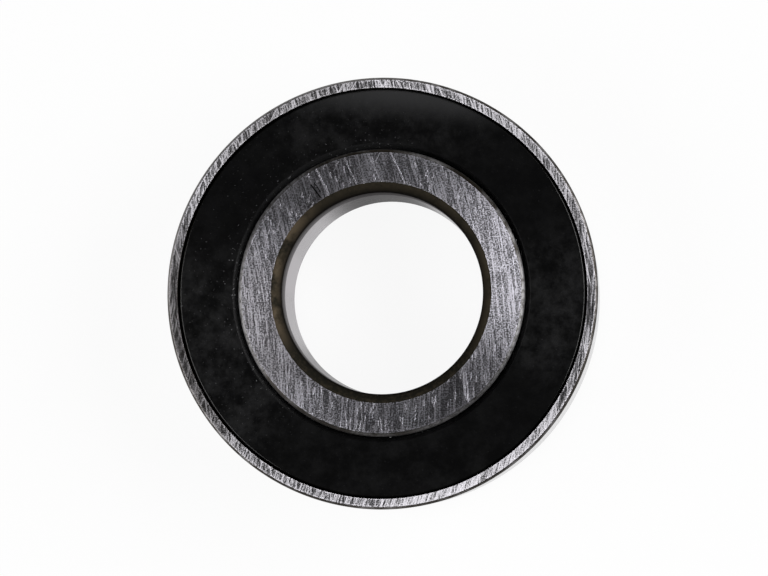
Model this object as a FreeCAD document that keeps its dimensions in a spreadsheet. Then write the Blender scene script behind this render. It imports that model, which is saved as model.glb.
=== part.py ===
import FreeCAD, Part
import os
import re
import Sketcher

# Sealed single-row angular contact ball bearing: an outer and an inner raceway ring, steel balls
# in a conical window cage, and a rubber seal on each side. The bearing axis is +Z and the rear face
# lies on z = 0, so the narrow front face of the outer ring looks up. Lengths are in millimetres and
# angles in degrees. Every profile is a half section: radius along x, height along z.

DIMENSIONS = {
    # boundary sizes
    "bore_diameter": 15.0,
    "outer_diameter": 32.0,
    "ring_width": 9.0,
    # ball set
    "pitch_diameter": 23.5,
    "ball_diameter": 4.762,
    "ball_count": 11,
    "contact_angle": 30.0,
    # raceways: groove radius, and the gap left along the contact line
    "groove_radius": 2.476,
    "race_gap": 0.025,
    # lands beside the raceways: high on the thrust side, low on the other
    "outer_high_land": 12.84,
    "outer_low_land": 14.0,
    "inner_high_land": 10.66,
    "inner_low_land": 9.52,
    # corners of the rings: radial and axial reach
    "bore_corner": 0.68,
    "bore_corner_length": 1.0,
    "front_corner": 0.2,
    "front_corner_length": 0.3,
    "rear_corner": 0.5,
    "rear_corner_length": 0.6,
    "land_edge": 0.28,
    "land_edge_length": 0.34,
    # seal seats in the outer ring: lip radius, lip height, depth of the seat and of the snap groove
    "front_lip_radius": 15.21,
    "rear_lip_radius": 13.9,
    "lip_height": 0.5,
    "seat_depth": 1.15,
    "snap_depth": 0.14,
    # seals
    "seal_recess": 0.2,
    "seal_rim_gap": 0.1,
    "seal_rim_round": 0.2,
    "seal_bead_play": 0.04,
    "seal_bead_top": 0.8,
    "seal_bead_neck": 0.56,
    "seal_lip_play": 0.06,
    "seal_lip_slope": 0.36,
    "seal_lip_top": 0.6,
    "seal_lip_bottom": 1.0,
    # cage
    "cage_half_width": 3.0,
    "cage_half_wall": 0.9,
    "cage_cone_angle": 10.7,
    "cage_edge": 0.2,
    "pocket_play": 0.1,
}

# side of a profile's path on which an arc has its centre
LEFT = 1
RIGHT = -1

doc = FreeCAD.newDocument("angular_contact_ball_bearing")
sheet = doc.addObject("Spreadsheet::Sheet", "dims")
for row, (alias, number) in enumerate(DIMENSIONS.items(), start=1):
    sheet.set(f"A{row}", alias)
    sheet.set(f"B{row}", str(number))
    sheet.setAlias(f"B{row}", alias)
doc.recompute()


def bound(expression):
    """The expression with each alias of the sheet written as a reference to its cell."""
    return re.sub(r"[a-z_]+\b(?!\()", lambda word: "dims." + word.group(), expression)


def number_of(expression):
    """The present value of an expression of sheet aliases."""
    return float(sheet.evalExpression(bound(expression)))


def below_front(depth):
    """Height of a point that lies the given depth under the front face."""
    return f"ring_width - ({depth})"


def above_rear(depth):
    """Height of a point that lies the given depth inside the rear face."""
    return depth


def corner_arc(radial, axial):
    """Radius of an arc that leaves a cylinder at a tangent and covers this radial and axial reach."""
    return f"(({radial}) ^ 2 + ({axial}) ^ 2) / (2 * ({radial}))"


def race_offset():
    """Distance from a ball's centre to the centre of a raceway's groove."""
    return "(groove_radius - ball_diameter / 2 - race_gap)"


def groove_height(land, inward, upward):
    """Height at which a raceway's groove meets a land.

    inward is +1 on the outer ring, whose groove centre lies nearer to the axis than the balls'
    centres, and -1 on the inner ring. upward is +1 for the meeting on the front side of the groove.
    """
    centre_radius = f"pitch_diameter / 2 - ({inward}) * {race_offset()} * cos(contact_angle)"
    centre_height = f"ring_width / 2 + ({inward}) * {race_offset()} * sin(contact_angle)"
    reach = f"sqrt(groove_radius ^ 2 - (({land}) - ({centre_radius})) ^ 2)"
    return f"{centre_height} + ({upward}) * {reach}"


def origin_plane(body, role):
    """One of the body's own origin planes."""
    return next(plane for plane in body.Origin.OriginFeatures if plane.Role == role)


def sketch_on_xz(body, name):
    """Empty sketch on the body's XZ plane: its x is the radius and its y the height."""
    sketch = body.newObject("Sketcher::SketchObject", name)
    sketch.AttachmentSupport = [(origin_plane(body, "XZ_Plane"), "")]
    sketch.MapMode = "FlatFace"
    return sketch


def arc_between(start, end, radius, side):
    """The smaller arc of this radius from start to end, its centre on the given side of the path."""
    chord = end - start
    to_left = FreeCAD.Vector(-chord.y, chord.x, 0).normalize()
    to_centre = to_left * (side * max(radius**2 - (chord.Length / 2) ** 2, 0.0) ** 0.5)
    centre = (start + end) * 0.5 + to_centre
    outward = to_left * (-side * radius)
    return Part.Arc(start, centre + outward, end)


def add_side(sketch, start, end, arc):
    """Adds one side of a profile, and returns its index and its point numbers at start and end."""
    if arc is None:
        return sketch.addGeometry(Part.LineSegment(start, end), False), 1, 2
    radius, side = arc
    index = sketch.addGeometry(arc_between(start, end, number_of(radius), side), False)
    first = sketch.getPoint(index, 1)
    runs_forward = (first - start).Length < (first - end).Length
    return (index, 1, 2) if runs_forward else (index, 2, 1)


def bind_constraint(sketch, constraint, name, expression):
    """Adds a named constraint whose value follows an expression of sheet cells."""
    index = sketch.addConstraint(constraint)
    sketch.renameConstraint(index, name)
    sketch.setExpression(f"Constraints.{name}", bound(expression))


def draw_profile(sketch, corners, arcs):
    """Draws a closed profile and ties every corner and arc of it to the sheet.

    corners are (radius, height) expressions in order; arcs gives (radius, side) for the sides,
    numbered by the corner where they start, that are arcs and not straight.
    """
    points = [FreeCAD.Vector(number_of(radius), number_of(height), 0) for radius, height in corners]
    sides = []
    for i, point in enumerate(points):
        sides.append(add_side(sketch, point, points[(i + 1) % len(points)], arcs.get(i)))
    for i, (side, start, _) in enumerate(sides):
        previous, _, end = sides[i - 1]
        sketch.addConstraint(Sketcher.Constraint("Coincident", previous, end, side, start))
    for i, (side, start, _) in enumerate(sides):
        radius, height = corners[i]
        across = Sketcher.Constraint("DistanceX", -1, 1, side, start, points[i].x)
        bind_constraint(sketch, across, f"corner_{i}_radius", radius)
        if height == "0":
            sketch.addConstraint(Sketcher.Constraint("PointOnObject", side, start, -1))
        else:
            up = Sketcher.Constraint("DistanceY", -1, 1, side, start, points[i].y)
            bind_constraint(sketch, up, f"corner_{i}_height", height)
        if i in arcs:
            bend = Sketcher.Constraint("Radius", side, number_of(arcs[i][0]))
            bind_constraint(sketch, bend, f"side_{i}_radius", arcs[i][0])


def turned_body(name, corners, arcs):
    """Body turned from a half section about the bearing axis."""
    body = doc.addObject("PartDesign::Body", name)
    body.Label = name
    profile = sketch_on_xz(body, f"{name}_profile")
    draw_profile(profile, corners, arcs)
    turned = body.newObject("PartDesign::Revolution", f"{name}_turned")
    turned.Profile = profile
    turned.ReferenceAxis = (profile, ["V_Axis"])
    turned.Angle = 360
    doc.recompute()
    return body


def make_outer_ring():
    """Outer ring: raceway open to the front, high thrust shoulder at the rear, two seal seats."""
    wall = "outer_diameter / 2"
    front_groove = "front_lip_radius + snap_depth"
    rear_groove = "rear_lip_radius + snap_depth"
    corners = [
        (f"{wall} - rear_corner", "0"),
        (wall, "rear_corner_length"),
        (wall, below_front("front_corner_length")),
        (f"{wall} - front_corner", "ring_width"),
        ("front_lip_radius", "ring_width"),
        ("front_lip_radius", below_front("lip_height")),
        (front_groove, below_front("lip_height + snap_depth")),
        (front_groove, below_front("seat_depth")),
        ("outer_low_land", below_front("seat_depth")),
        ("outer_low_land", groove_height("outer_low_land", 1, 1)),
        ("outer_high_land", groove_height("outer_high_land", 1, -1)),
        ("outer_high_land", "seat_depth"),
        (rear_groove, "seat_depth"),
        (rear_groove, "lip_height + snap_depth"),
        ("rear_lip_radius", "lip_height"),
        ("rear_lip_radius", "0"),
    ]
    arcs = {
        0: (corner_arc("rear_corner", "rear_corner_length"), LEFT),
        2: (corner_arc("front_corner", "front_corner_length"), LEFT),
        9: ("groove_radius", RIGHT),
    }
    return turned_body("outer_ring", corners, arcs)


def make_inner_ring():
    """Inner ring: wide face and high thrust shoulder at the front, low land at the rear."""
    wall = "bore_diameter / 2"
    bore_arc = (corner_arc("bore_corner", "bore_corner_length"), LEFT)
    edge_arc = (corner_arc("land_edge", "land_edge_length"), LEFT)
    corners = [
        (f"{wall} + bore_corner", "0"),
        ("inner_low_land - land_edge", "0"),
        ("inner_low_land", "land_edge_length"),
        ("inner_low_land", groove_height("inner_low_land", -1, -1)),
        ("inner_high_land", groove_height("inner_high_land", -1, 1)),
        ("inner_high_land", below_front("land_edge_length")),
        ("inner_high_land - land_edge", "ring_width"),
        (f"{wall} + bore_corner", "ring_width"),
        (wall, below_front("bore_corner_length")),
        (wall, "bore_corner_length"),
    ]
    arcs = {1: edge_arc, 3: ("groove_radius", RIGHT), 5: edge_arc, 7: bore_arc, 9: bore_arc}
    return turned_body("inner_ring", corners, arcs)


def make_seal(name, lip_radius, land, height, side):
    """Moulded seal: a bead that snaps into the outer ring, a flat disc and a lip at the inner ring.

    height turns a depth under the seal's own face of the bearing into a height, and side is the
    side of the path on which a rounded rim has its centre.
    """
    bead = f"{lip_radius} + snap_depth - seal_bead_play"
    rim = f"{lip_radius} - seal_rim_gap"
    inside = f"{land} + seal_lip_play"
    corners = [
        (inside, height("seal_lip_bottom")),
        (f"{inside} + seal_lip_slope", height("seat_depth")),
        (bead, height("seat_depth")),
        (bead, height("seal_bead_top")),
        (rim, height("seal_bead_neck")),
        (rim, height("seal_recess + seal_rim_round")),
        (f"{rim} - seal_rim_round", height("seal_recess")),
        (f"{inside} + seal_lip_slope", height("seal_recess")),
        (inside, height("seal_lip_top")),
    ]
    return turned_body(name, corners, {5: ("seal_rim_round", side)})


def cage_corner(along, across):
    """A point of the cage's slanted section, from distances along the cone and across its wall."""
    radius = f"pitch_diameter / 2 + ({along}) * sin(cage_cone_angle) + ({across}) * cos(cage_cone_angle)"
    height = f"ring_width / 2 + ({along}) * cos(cage_cone_angle) - ({across}) * sin(cage_cone_angle)"
    return radius, height


def make_cage():
    """Conical window cage, with one spherical pocket cut for each ball."""
    length = "cage_half_width"
    wall = "cage_half_wall"
    corners = [
        cage_corner(f"-{length}", f"-{wall} + cage_edge"),
        cage_corner(f"-{length}", f"{wall} - cage_edge"),
        cage_corner(f"-{length} + cage_edge", wall),
        cage_corner(f"{length} - cage_edge", wall),
        cage_corner(length, f"{wall} - cage_edge"),
        cage_corner(length, f"-{wall} + cage_edge"),
        cage_corner(f"{length} - cage_edge", f"-{wall}"),
        cage_corner(f"-{length} + cage_edge", f"-{wall}"),
    ]
    rounded = ("cage_edge", LEFT)
    body = turned_body("cage", corners, {1: rounded, 3: rounded, 5: rounded, 7: rounded})
    whole = body.Shape.Volume

    pocket_profile = sketch_on_xz(body, "cage_pocket_profile")
    pocket_profile.setExpression("AttachmentOffset.Base.y", bound("ring_width / 2"))
    doc.recompute()
    pocket_radius = "ball_diameter / 2 + pocket_play"
    half_disc = [
        (f"pitch_diameter / 2 + {pocket_radius}", "0"),
        ("pitch_diameter / 2", pocket_radius),
        (f"pitch_diameter / 2 - ({pocket_radius})", "0"),
    ]
    quarter = (pocket_radius, LEFT)
    draw_profile(pocket_profile, half_disc, {0: quarter, 1: quarter})
    pocket = body.newObject("PartDesign::Groove", "cage_pocket")
    pocket.Profile = pocket_profile
    pocket.ReferenceAxis = (pocket_profile, ["H_Axis"])
    pocket.Angle = 360
    doc.recompute()
    one_cut = whole - body.Shape.Volume

    pockets = body.newObject("PartDesign::PolarPattern", "cage_pockets")
    pockets.Originals = [pocket]
    pockets.Axis = (pocket_profile, ["V_Axis"])
    pockets.Angle = 360
    pockets.setExpression("Occurrences", bound("ball_count"))
    body.Tip = pockets
    doc.recompute()
    all_cuts = whole - body.Shape.Volume
    if one_cut <= 0 or abs(all_cuts - DIMENSIONS["ball_count"] * one_cut) > 0.001 * whole:
        raise RuntimeError("the cage's pockets are not cut as they should be")
    return body


def make_ball(index):
    """One ball at its place on the pitch circle, midway between the faces."""
    name = f"ball_{index + 1:02d}"
    ball = doc.addObject("Part::Sphere", name)
    ball.Label = name
    ball.setExpression("Radius", bound("ball_diameter / 2"))
    ball.setExpression("Placement.Base.x", bound(f"pitch_diameter / 2 * cos({index} * 360 / ball_count)"))
    ball.setExpression("Placement.Base.y", bound(f"pitch_diameter / 2 * sin({index} * 360 / ball_count)"))
    ball.setExpression("Placement.Base.z", bound("ring_width / 2"))
    return ball


sub_parts = [
    make_outer_ring(),
    make_inner_ring(),
    make_seal("front_seal", "front_lip_radius", "inner_high_land", below_front, LEFT),
    make_seal("rear_seal", "rear_lip_radius", "inner_low_land", above_rear, RIGHT),
    make_cage(),
]
sub_parts += [make_ball(index) for index in range(DIMENSIONS["ball_count"])]
doc.recompute()

for item in doc.Objects:
    if "Invalid" in item.State or "Error" in item.State:
        raise RuntimeError(f"{item.Name} failed: {item.State}")
for sub_part in sub_parts:
    shape = sub_part.Shape
    if shape.isNull() or not shape.isValid() or len(shape.Solids) != 1:
        raise RuntimeError(f"{sub_part.Label} is not one valid solid")

os.makedirs("parts", exist_ok=True)
for sub_part in sub_parts:
    sub_part.Shape.exportStep(f"parts/{sub_part.Label}.step")
    print(f"{sub_part.Label}: {sub_part.Shape.Volume:.3f} mm3")
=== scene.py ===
"""Looks of a sealed single-row angular contact ball bearing that lies on its rear face."""

import logging
import math
from dataclasses import dataclass
from enum import Enum
from functools import cached_property, reduce
from typing import Optional, Sequence, Union

import bmesh
import bpy
from bpy.types import Material, Node, NodeSocket as Socket, Object, World
from mathutils import Matrix, Vector


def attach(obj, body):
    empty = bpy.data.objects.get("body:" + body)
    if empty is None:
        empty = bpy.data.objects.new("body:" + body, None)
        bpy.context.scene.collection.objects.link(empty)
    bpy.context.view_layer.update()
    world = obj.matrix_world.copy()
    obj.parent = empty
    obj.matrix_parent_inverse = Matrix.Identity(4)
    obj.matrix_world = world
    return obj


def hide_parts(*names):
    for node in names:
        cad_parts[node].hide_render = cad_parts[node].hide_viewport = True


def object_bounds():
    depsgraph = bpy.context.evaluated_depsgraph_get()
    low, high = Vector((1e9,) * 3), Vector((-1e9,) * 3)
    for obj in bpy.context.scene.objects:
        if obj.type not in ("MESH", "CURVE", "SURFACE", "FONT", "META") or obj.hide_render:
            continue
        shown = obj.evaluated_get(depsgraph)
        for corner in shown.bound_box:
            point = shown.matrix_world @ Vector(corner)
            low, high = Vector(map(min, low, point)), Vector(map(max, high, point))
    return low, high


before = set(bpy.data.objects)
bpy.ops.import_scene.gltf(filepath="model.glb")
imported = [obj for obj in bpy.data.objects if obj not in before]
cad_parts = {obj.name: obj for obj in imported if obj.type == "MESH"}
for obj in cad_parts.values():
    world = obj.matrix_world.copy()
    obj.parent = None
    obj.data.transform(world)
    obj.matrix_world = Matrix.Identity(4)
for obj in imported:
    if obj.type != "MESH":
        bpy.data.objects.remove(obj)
CAD_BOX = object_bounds()

log = logging.getLogger("bearing")

MM = 0.001
Colour = tuple[float, float, float, float]
Point = tuple[float, float]
Place = tuple[float, float, float]
Value = Union[float, Sequence[float], Socket]


class Zone(Enum):
    """Kinds of surface on a turned ring, in the order of its material slots."""

    FACE = 0
    EDGE = 1
    CORNER = 2
    WALL = 3
    RACE = 4


class Turn(Enum):
    """Which way an arc of an outline bends as it is drawn."""

    LEFT = 1
    RIGHT = -1


class Side(Enum):
    """Sides of the bearing, as directions along its axis."""

    FRONT = 1
    REAR = -1


class Race(Enum):
    """Raceways, as directions from the balls to their contact."""

    OUTER = 1
    INNER = -1


def grey(level: float) -> Colour:
    """A neutral colour of this linear level."""
    return (level, level, level, 1.0)


class Shader:
    """Writes the node tree of one material or of the surroundings.

    The Mix node numbers its colour sockets apart from those of its other kinds.
    """

    MIX_SHARE = 0
    MIX_A = 6
    MIX_B = 7
    MIX_RESULT = 2

    def __init__(self, owner: Union[Material, World]) -> None:
        """Starts an empty node tree.

        Args:
            owner: New material or world that gets the tree.
        """
        owner.use_nodes = True
        self.owner = owner
        self.nodes = owner.node_tree.nodes
        self.links = owner.node_tree.links
        self.nodes.clear()

    def add(self, kind: str, feeds: dict[Union[int, str], Value], **settings: object) -> Node:
        """Adds a node.

        Args:
            kind: Node type without its common prefix.
            feeds: Constant or socket for each named or numbered input.
            settings: Properties of the node.

        Returns:
            The new node.
        """
        node = self.nodes.new("ShaderNode" + kind)
        for key, setting in settings.items():
            setattr(node, key, setting)
        for key, value in feeds.items():
            if isinstance(value, Socket):
                self.links.new(value, node.inputs[key])
            else:
                node.inputs[key].default_value = value
        return node

    def calc(self, operation: str, a: Value, b: Value = 0.0, c: Value = 0.0) -> Socket:
        """One step of arithmetic, named as in the Math node."""
        return self.add("Math", {0: a, 1: b, 2: c}, operation=operation).outputs[0]

    def times(self, a: Value, b: Value) -> Socket:
        """The product of two values."""
        return self.calc("MULTIPLY", a, b)

    def gap(self, a: Value, b: Value) -> Socket:
        """How far two values are apart."""
        return self.calc("ABSOLUTE", self.calc("SUBTRACT", a, b))

    def ease(self, value: Value, low: float, high: float) -> Socket:
        """A smooth step from 0 at low to 1 at high, which may be under low."""
        feeds = {"Value": value, "From Min": low, "From Max": high}
        return self.add("MapRange", feeds, interpolation_type="SMOOTHSTEP").outputs[0]

    def spread(self, value: Value, low: float, high: float) -> Socket:
        """A 0 to 1 value stretched to run from low to high."""
        return self.add("MapRange", {"Value": value, "To Min": low, "To Max": high}).outputs[0]

    def strongest(self, values: Sequence[Value]) -> Socket:
        """The largest of several values."""
        return reduce(lambda a, b: self.calc("MAXIMUM", a, b), values)

    def weighted(self, layers: Sequence[tuple[Value, float]]) -> Socket:
        """The sum of several values, each times its share."""
        return reduce(lambda total, layer: self.calc("MULTIPLY_ADD", *layer, total), layers, 0.0)

    @cached_property
    def place(self) -> Socket:
        """The place on the piece, in millimetres."""
        metres = self.add("TexCoord", {}).outputs["Object"]
        return self.add("VectorMath", {0: metres, "Scale": 1 / MM}, operation="SCALE").outputs[0]

    @cached_property
    def xyz(self) -> list[Socket]:
        """The three parts of the place."""
        return list(self.add("SeparateXYZ", {0: self.place}).outputs)

    @property
    def height(self) -> Socket:
        """The height of the place over the rear face."""
        return self.xyz[2]

    def polar(self, centre: Point = (0.0, 0.0)) -> tuple[Socket, Socket]:
        """Where the place lies about an upright axis.

        Args:
            centre: Where the axis stands, in millimetres.

        Returns:
            The sockets of the distance, in millimetres, and of the angle, in radians.
        """
        dx, dy = (self.calc("SUBTRACT", part, start) for part, start in zip(self.xyz, centre))
        square = self.calc("ADD", self.times(dx, dx), self.times(dy, dy))
        return self.calc("SQRT", square), self.calc("ARCTAN2", dy, dx)

    def towards(self, direction: float) -> Socket:
        """How far the place lies in a direction, in degrees from +X towards +Y."""
        along = math.radians(direction)
        return self.weighted([(self.xyz[0], math.cos(along)), (self.xyz[1], math.sin(along))])

    def join(self, x: Value, y: Value, z: Value = 0.0) -> Socket:
        """A vector from three parts."""
        return self.add("CombineXYZ", {0: x, 1: y, 2: z}).outputs[0]

    def chance(self, x: Value, y: Value) -> Socket:
        """A random value from 0 to 1 that stays the same for one pair of numbers."""
        return self.add("TexWhiteNoise", {"Vector": self.join(x, y)}, noise_dimensions="2D").outputs["Value"]

    def blend(self, share: Value, a: Value, b: Value) -> Socket:
        """A colour that is a at a share of 0 and b at 1."""
        feeds = {self.MIX_SHARE: share, self.MIX_A: a, self.MIX_B: b}
        return self.add("Mix", feeds, data_type="RGBA").outputs[self.MIX_RESULT]

    def round_axis(self) -> Socket:
        """The direction that runs round the bearing axis."""
        return self.add("Tangent", {}, direction_type="RADIAL", axis="Z").outputs[0]

    def surface(self, **feeds: Value) -> Material:
        """Ends the material in one surface shader.

        Args:
            feeds: Inputs of the shader, with underscores for spaces.

        Returns:
            The material.
        """
        inputs = {key.replace("_", " "): value for key, value in feeds.items()}
        skin = self.add("BsdfPrincipled", inputs)
        self.add("OutputMaterial", {"Surface": skin.outputs[0]})
        return self.owner


@dataclass(frozen=True)
class Cloud:
    """Cloudy noise, with its scale in clouds a millimetre and the limits of its mask."""

    scale: float
    detail: float
    rough: float = 0.5
    low: float = 0.0
    high: float = 1.0

    def level(self, shader: Shader, place: Optional[Value] = None) -> Socket:
        """Plain noise from 0 to 1.

        Args:
            shader: Material that is written.
            place: Where the noise is read, if not at the place on the piece.

        Returns:
            The socket of the noise.
        """
        feeds = {
            "Vector": shader.place if place is None else place,
            "Scale": self.scale,
            "Detail": self.detail,
            "Roughness": self.rough,
        }
        return shader.add("TexNoise", feeds).outputs[0]

    def mask(self, shader: Shader, place: Optional[Value] = None) -> Socket:
        """Noise that is 0 up to its low limit and 1 from its high one."""
        return shader.ease(self.level(shader, place), self.low, self.high)


@dataclass(frozen=True)
class Relief:
    """Fine unevenness of a skin: its depth in millimetres, and how much of it shows."""

    depth: float
    strength: float

    def normal(self, shader: Shader, height: Value) -> Socket:
        """The skin's normal, bent by a height from 0 to 1."""
        feeds = {"Height": height, "Distance": self.depth * MM, "Strength": self.strength}
        return shader.add("Bump", feeds).outputs[0]


@dataclass(frozen=True)
class Lay:
    """Direction of rubbing, as arcs round a far centre in millimetres that look almost straight.

    Across counts the lines a millimetre, along the runs of a line a millimetre.
    """

    centre: Point
    across: float
    along: float
    seed: float

    def steps(self, shader: Shader) -> tuple[Socket, Socket]:
        """How far the place lies across the arcs and along them.

        Args:
            shader: Material that is written.

        Returns:
            The sockets of both distances, counted in lines and in runs of a line.
        """
        distance, angle = shader.polar(self.centre)
        across = shader.calc("MULTIPLY_ADD", distance, self.across, self.seed)
        return across, shader.times(angle, math.hypot(*self.centre) * self.along)


@dataclass(frozen=True)
class Scratches:
    """One family of thin straight lines, each broken into runs of its own brightness.

    A run's random level shows from low to high. Its ends taper.
    """

    lay: Lay
    low: float
    high: float = 1.0
    share: float = 1.0

    SHIFT = 50.0
    MIDDLE = 0.5
    TAPER_FROM = 0.2

    def mask(self, shader: Shader) -> Socket:
        """Where the lines are.

        Args:
            shader: Material that is written.

        Returns:
            The socket of a value from 0 to the lines' share.
        """
        across, along = self.lay.steps(shader)
        line = shader.calc("FLOOR", across)
        shifted = shader.calc("MULTIPLY_ADD", shader.chance(line, self.lay.seed), self.SHIFT, along)
        level = shader.ease(shader.chance(line, shader.calc("FLOOR", shifted)), self.low, self.high)
        off_middle = shader.gap(shader.calc("FRACT", shifted), self.MIDDLE)
        taper = shader.ease(off_middle, self.MIDDLE, self.TAPER_FROM)
        return shader.times(shader.times(level, taper), self.share)


@dataclass(frozen=True)
class Patch:
    """Soft sector of a ring that carries one kind of mark: stains, oily patches, handling, painted
    highlights, painted shade.

    The direction is in degrees from +X towards +Y. Full and gone are half angles in degrees.
    """

    direction: float
    full: float
    gone: float
    share: float = 1.0

    def mask(self, shader: Shader) -> Socket:
        """Strength of the patch.

        Args:
            shader: Material that is written.

        Returns:
            The socket of a value from 0 to the patch's share.
        """
        cosine = shader.calc("DIVIDE", shader.towards(self.direction), shader.polar()[0])
        limits = [math.cos(math.radians(angle)) for angle in (self.gone, self.full)]
        return shader.times(shader.ease(cosine, *limits), self.share)


def covered(shader: Shader, marks: Sequence[Union[Patch, Scratches]]) -> Socket:
    """Strength of the strongest of several marks."""
    return shader.strongest([mark.mask(shader) for mark in marks])


@dataclass(frozen=True)
class Spot:
    """Soft round spot of a face that is worn bright. Lengths are in millimetres."""

    centre: Point
    radius: float
    share: float

    CORE = 0.25

    def mask(self, shader: Shader) -> Socket:
        """Strength of the spot, from 0 to its share."""
        distance, _ = shader.polar(self.centre)
        return shader.times(shader.ease(distance, self.radius, self.radius * self.CORE), self.share)


@dataclass(frozen=True)
class Nick:
    """One deeply cut dent in a face, drawn as a short line between two points in millimetres."""

    start: Point
    end: Point
    width: float

    CORE = 0.2

    def mask(self, shader: Shader) -> Socket:
        """Where the dent is.

        Args:
            shader: Material that is written.

        Returns:
            The socket of a value from 0 to 1.
        """
        run = Vector(self.end) - Vector(self.start)
        dx, dy = (shader.calc("SUBTRACT", part, start) for part, start in zip(shader.xyz, self.start))
        forward = shader.weighted([(dx, run.x / run.length_squared), (dy, run.y / run.length_squared)])
        share = shader.add("Clamp", {0: forward}).outputs[0]
        off_x = shader.calc("MULTIPLY_ADD", share, -run.x, dx)
        off_y = shader.calc("MULTIPLY_ADD", share, -run.y, dy)
        off = shader.add("VectorMath", {0: shader.join(off_x, off_y)}, operation="LENGTH")
        return shader.ease(off.outputs["Value"], self.width / 2, self.width * self.CORE)


@dataclass(frozen=True)
class OilAndShadeBand:
    """Dark band on a wall, oily coating and painted shade together, which starts at a height in millimetres
    and grows stronger upwards.
    """

    start: float
    full: float
    step: float
    edge: float = 0.4

    def mask(self, shader: Shader) -> Socket:
        """Strength of the band of oily coating and painted shade.

        Args:
            shader: Material that is written.

        Returns:
            The socket of a value from 0 to 1.
        """
        first = shader.ease(shader.height, self.start - self.edge, self.start)
        rest = shader.ease(shader.height, self.start, self.full)
        return shader.weighted([(rest, 1 - self.step), (first, self.step)])


@dataclass(frozen=True)
class GroundFace:
    """Flat steel face with a brushed base, ground lines, handling scratches, worn rims, painted highlights
    in sectors, and sectors darkened by an oily coating and painted shade.

    Each layer adds its share to the tone, and the steel goes from dull to bright over the tone range.
    """

    name: str
    grain: Lay
    strokes: tuple[Scratches, ...]
    scratches: tuple[Scratches, ...]
    lay: float
    # Painted highlights: sectors painted brighter where the face catches the lights.
    painted_highlights: tuple[Patch, ...]
    # Sectors darkened by a brownish oily coating, which also stands in as painted shade on the less lit
    # sides.
    oily_coats_and_shade: tuple[Patch, ...]
    anisotropy: float
    roughness: Point
    tone_range: Point
    grain_share: float
    stroke_share: float
    pit_share: float
    worn_share: float
    dull: Colour
    bright: Colour = (0.97, 0.95, 1.0, 1.0)
    # Colour of the oily coating and painted shade.
    oily_coat_and_shade: Colour = (0.11, 0.098, 0.09, 1.0)
    nick: Colour = (0.03, 0.03, 0.031, 1.0)
    nicks: tuple[Nick, ...] = ()
    spots: tuple[Spot, ...] = ()
    streaks: Cloud = Cloud(1.0, 1.0, 0.5, 0.4, 0.6)
    pits: Cloud = Cloud(10.0, 1.0, 0.6, 0.38, 0.62)
    worn: Cloud = Cloud(0.6, 3.0, 0.6, 0.32, 0.66)
    specks: Cloud = Cloud(5.0, 1.0, 0.5, 0.7, 0.76)
    speck_share: float = 0.9
    rim_share: float = 0.6
    rim_width: float = 0.16
    stroke_height: float = 0.5
    relief: Relief = Relief(0.006, 0.8)
    middle: float = 4.5

    def rim_wear(self, shader: Shader, front: Value, rims: tuple[Point, Point]) -> Socket:
        """Where the rims of the faces are worn bright.

        Args:
            shader: Material that is written.
            front: 1 on the front face, 0 on the rear face.
            rims: Radii of the front face's rims, then of the rear face's, in millimetres.

        Returns:
            The socket of a value from 0 to 1.
        """
        distance, _ = shader.polar()
        bands = []
        for side, radii in zip((front, shader.calc("SUBTRACT", 1.0, front)), rims):
            for radius in radii:
                band = shader.ease(shader.gap(distance, radius), self.rim_width, 0.0)
                bands.append(shader.times(side, band))
        return shader.strongest(bands)

    def material(self, rims: tuple[Point, Point]) -> Material:
        """Lays the face's layers over each other.

        Args:
            rims: Radii of the front face's rims, then of the rear face's, in millimetres.

        Returns:
            The finished material.
        """
        shader = Shader(bpy.data.materials.new(self.name))
        front = shader.calc("GREATER_THAN", shader.height, self.middle)
        pits = self.pits.mask(shader)
        strokes = shader.weighted([(family.mask(shader), 1 / len(self.strokes)) for family in self.strokes])
        layers = [
            (self.streaks.mask(shader, shader.join(*self.grain.steps(shader))), self.grain_share),
            (strokes, self.stroke_share),
            (pits, self.pit_share),
            (self.worn.mask(shader), self.worn_share),
            # Painted highlights lift the tone in their sectors.
            (covered(shader, self.painted_highlights), 1.0),
        ]
        tone = shader.ease(shader.weighted(layers), *self.tone_range)
        for spot in self.spots:
            tone = shader.calc("MULTIPLY_ADD", spot.mask(shader), pits, tone)
        rim_wear = shader.times(self.rim_wear(shader, front, rims), pits)
        tone = shader.calc("MULTIPLY_ADD", rim_wear, self.rim_share, tone)
        specks = shader.times(self.specks.mask(shader), self.speck_share)
        marks = shader.calc("MAXIMUM", covered(shader, self.scratches), specks)
        share = shader.calc("MAXIMUM", tone, marks)
        skin = shader.blend(share, self.dull, self.bright)
        # Oily coating and painted shade darken their sectors.
        skin = shader.blend(covered(shader, self.oily_coats_and_shade), skin, self.oily_coat_and_shade)
        for nick in self.nicks:
            skin = shader.blend(shader.times(nick.mask(shader), front), skin, self.nick)
        height = shader.calc("MULTIPLY_ADD", strokes, self.stroke_height, marks)
        return shader.surface(
            Base_Color=skin,
            Metallic=1.0,
            Roughness=shader.spread(share, *self.roughness),
            Anisotropic=self.anisotropy,
            Anisotropic_Rotation=self.lay,
            Tangent=shader.round_axis(),
            Normal=self.relief.normal(shader, height),
        )


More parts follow.
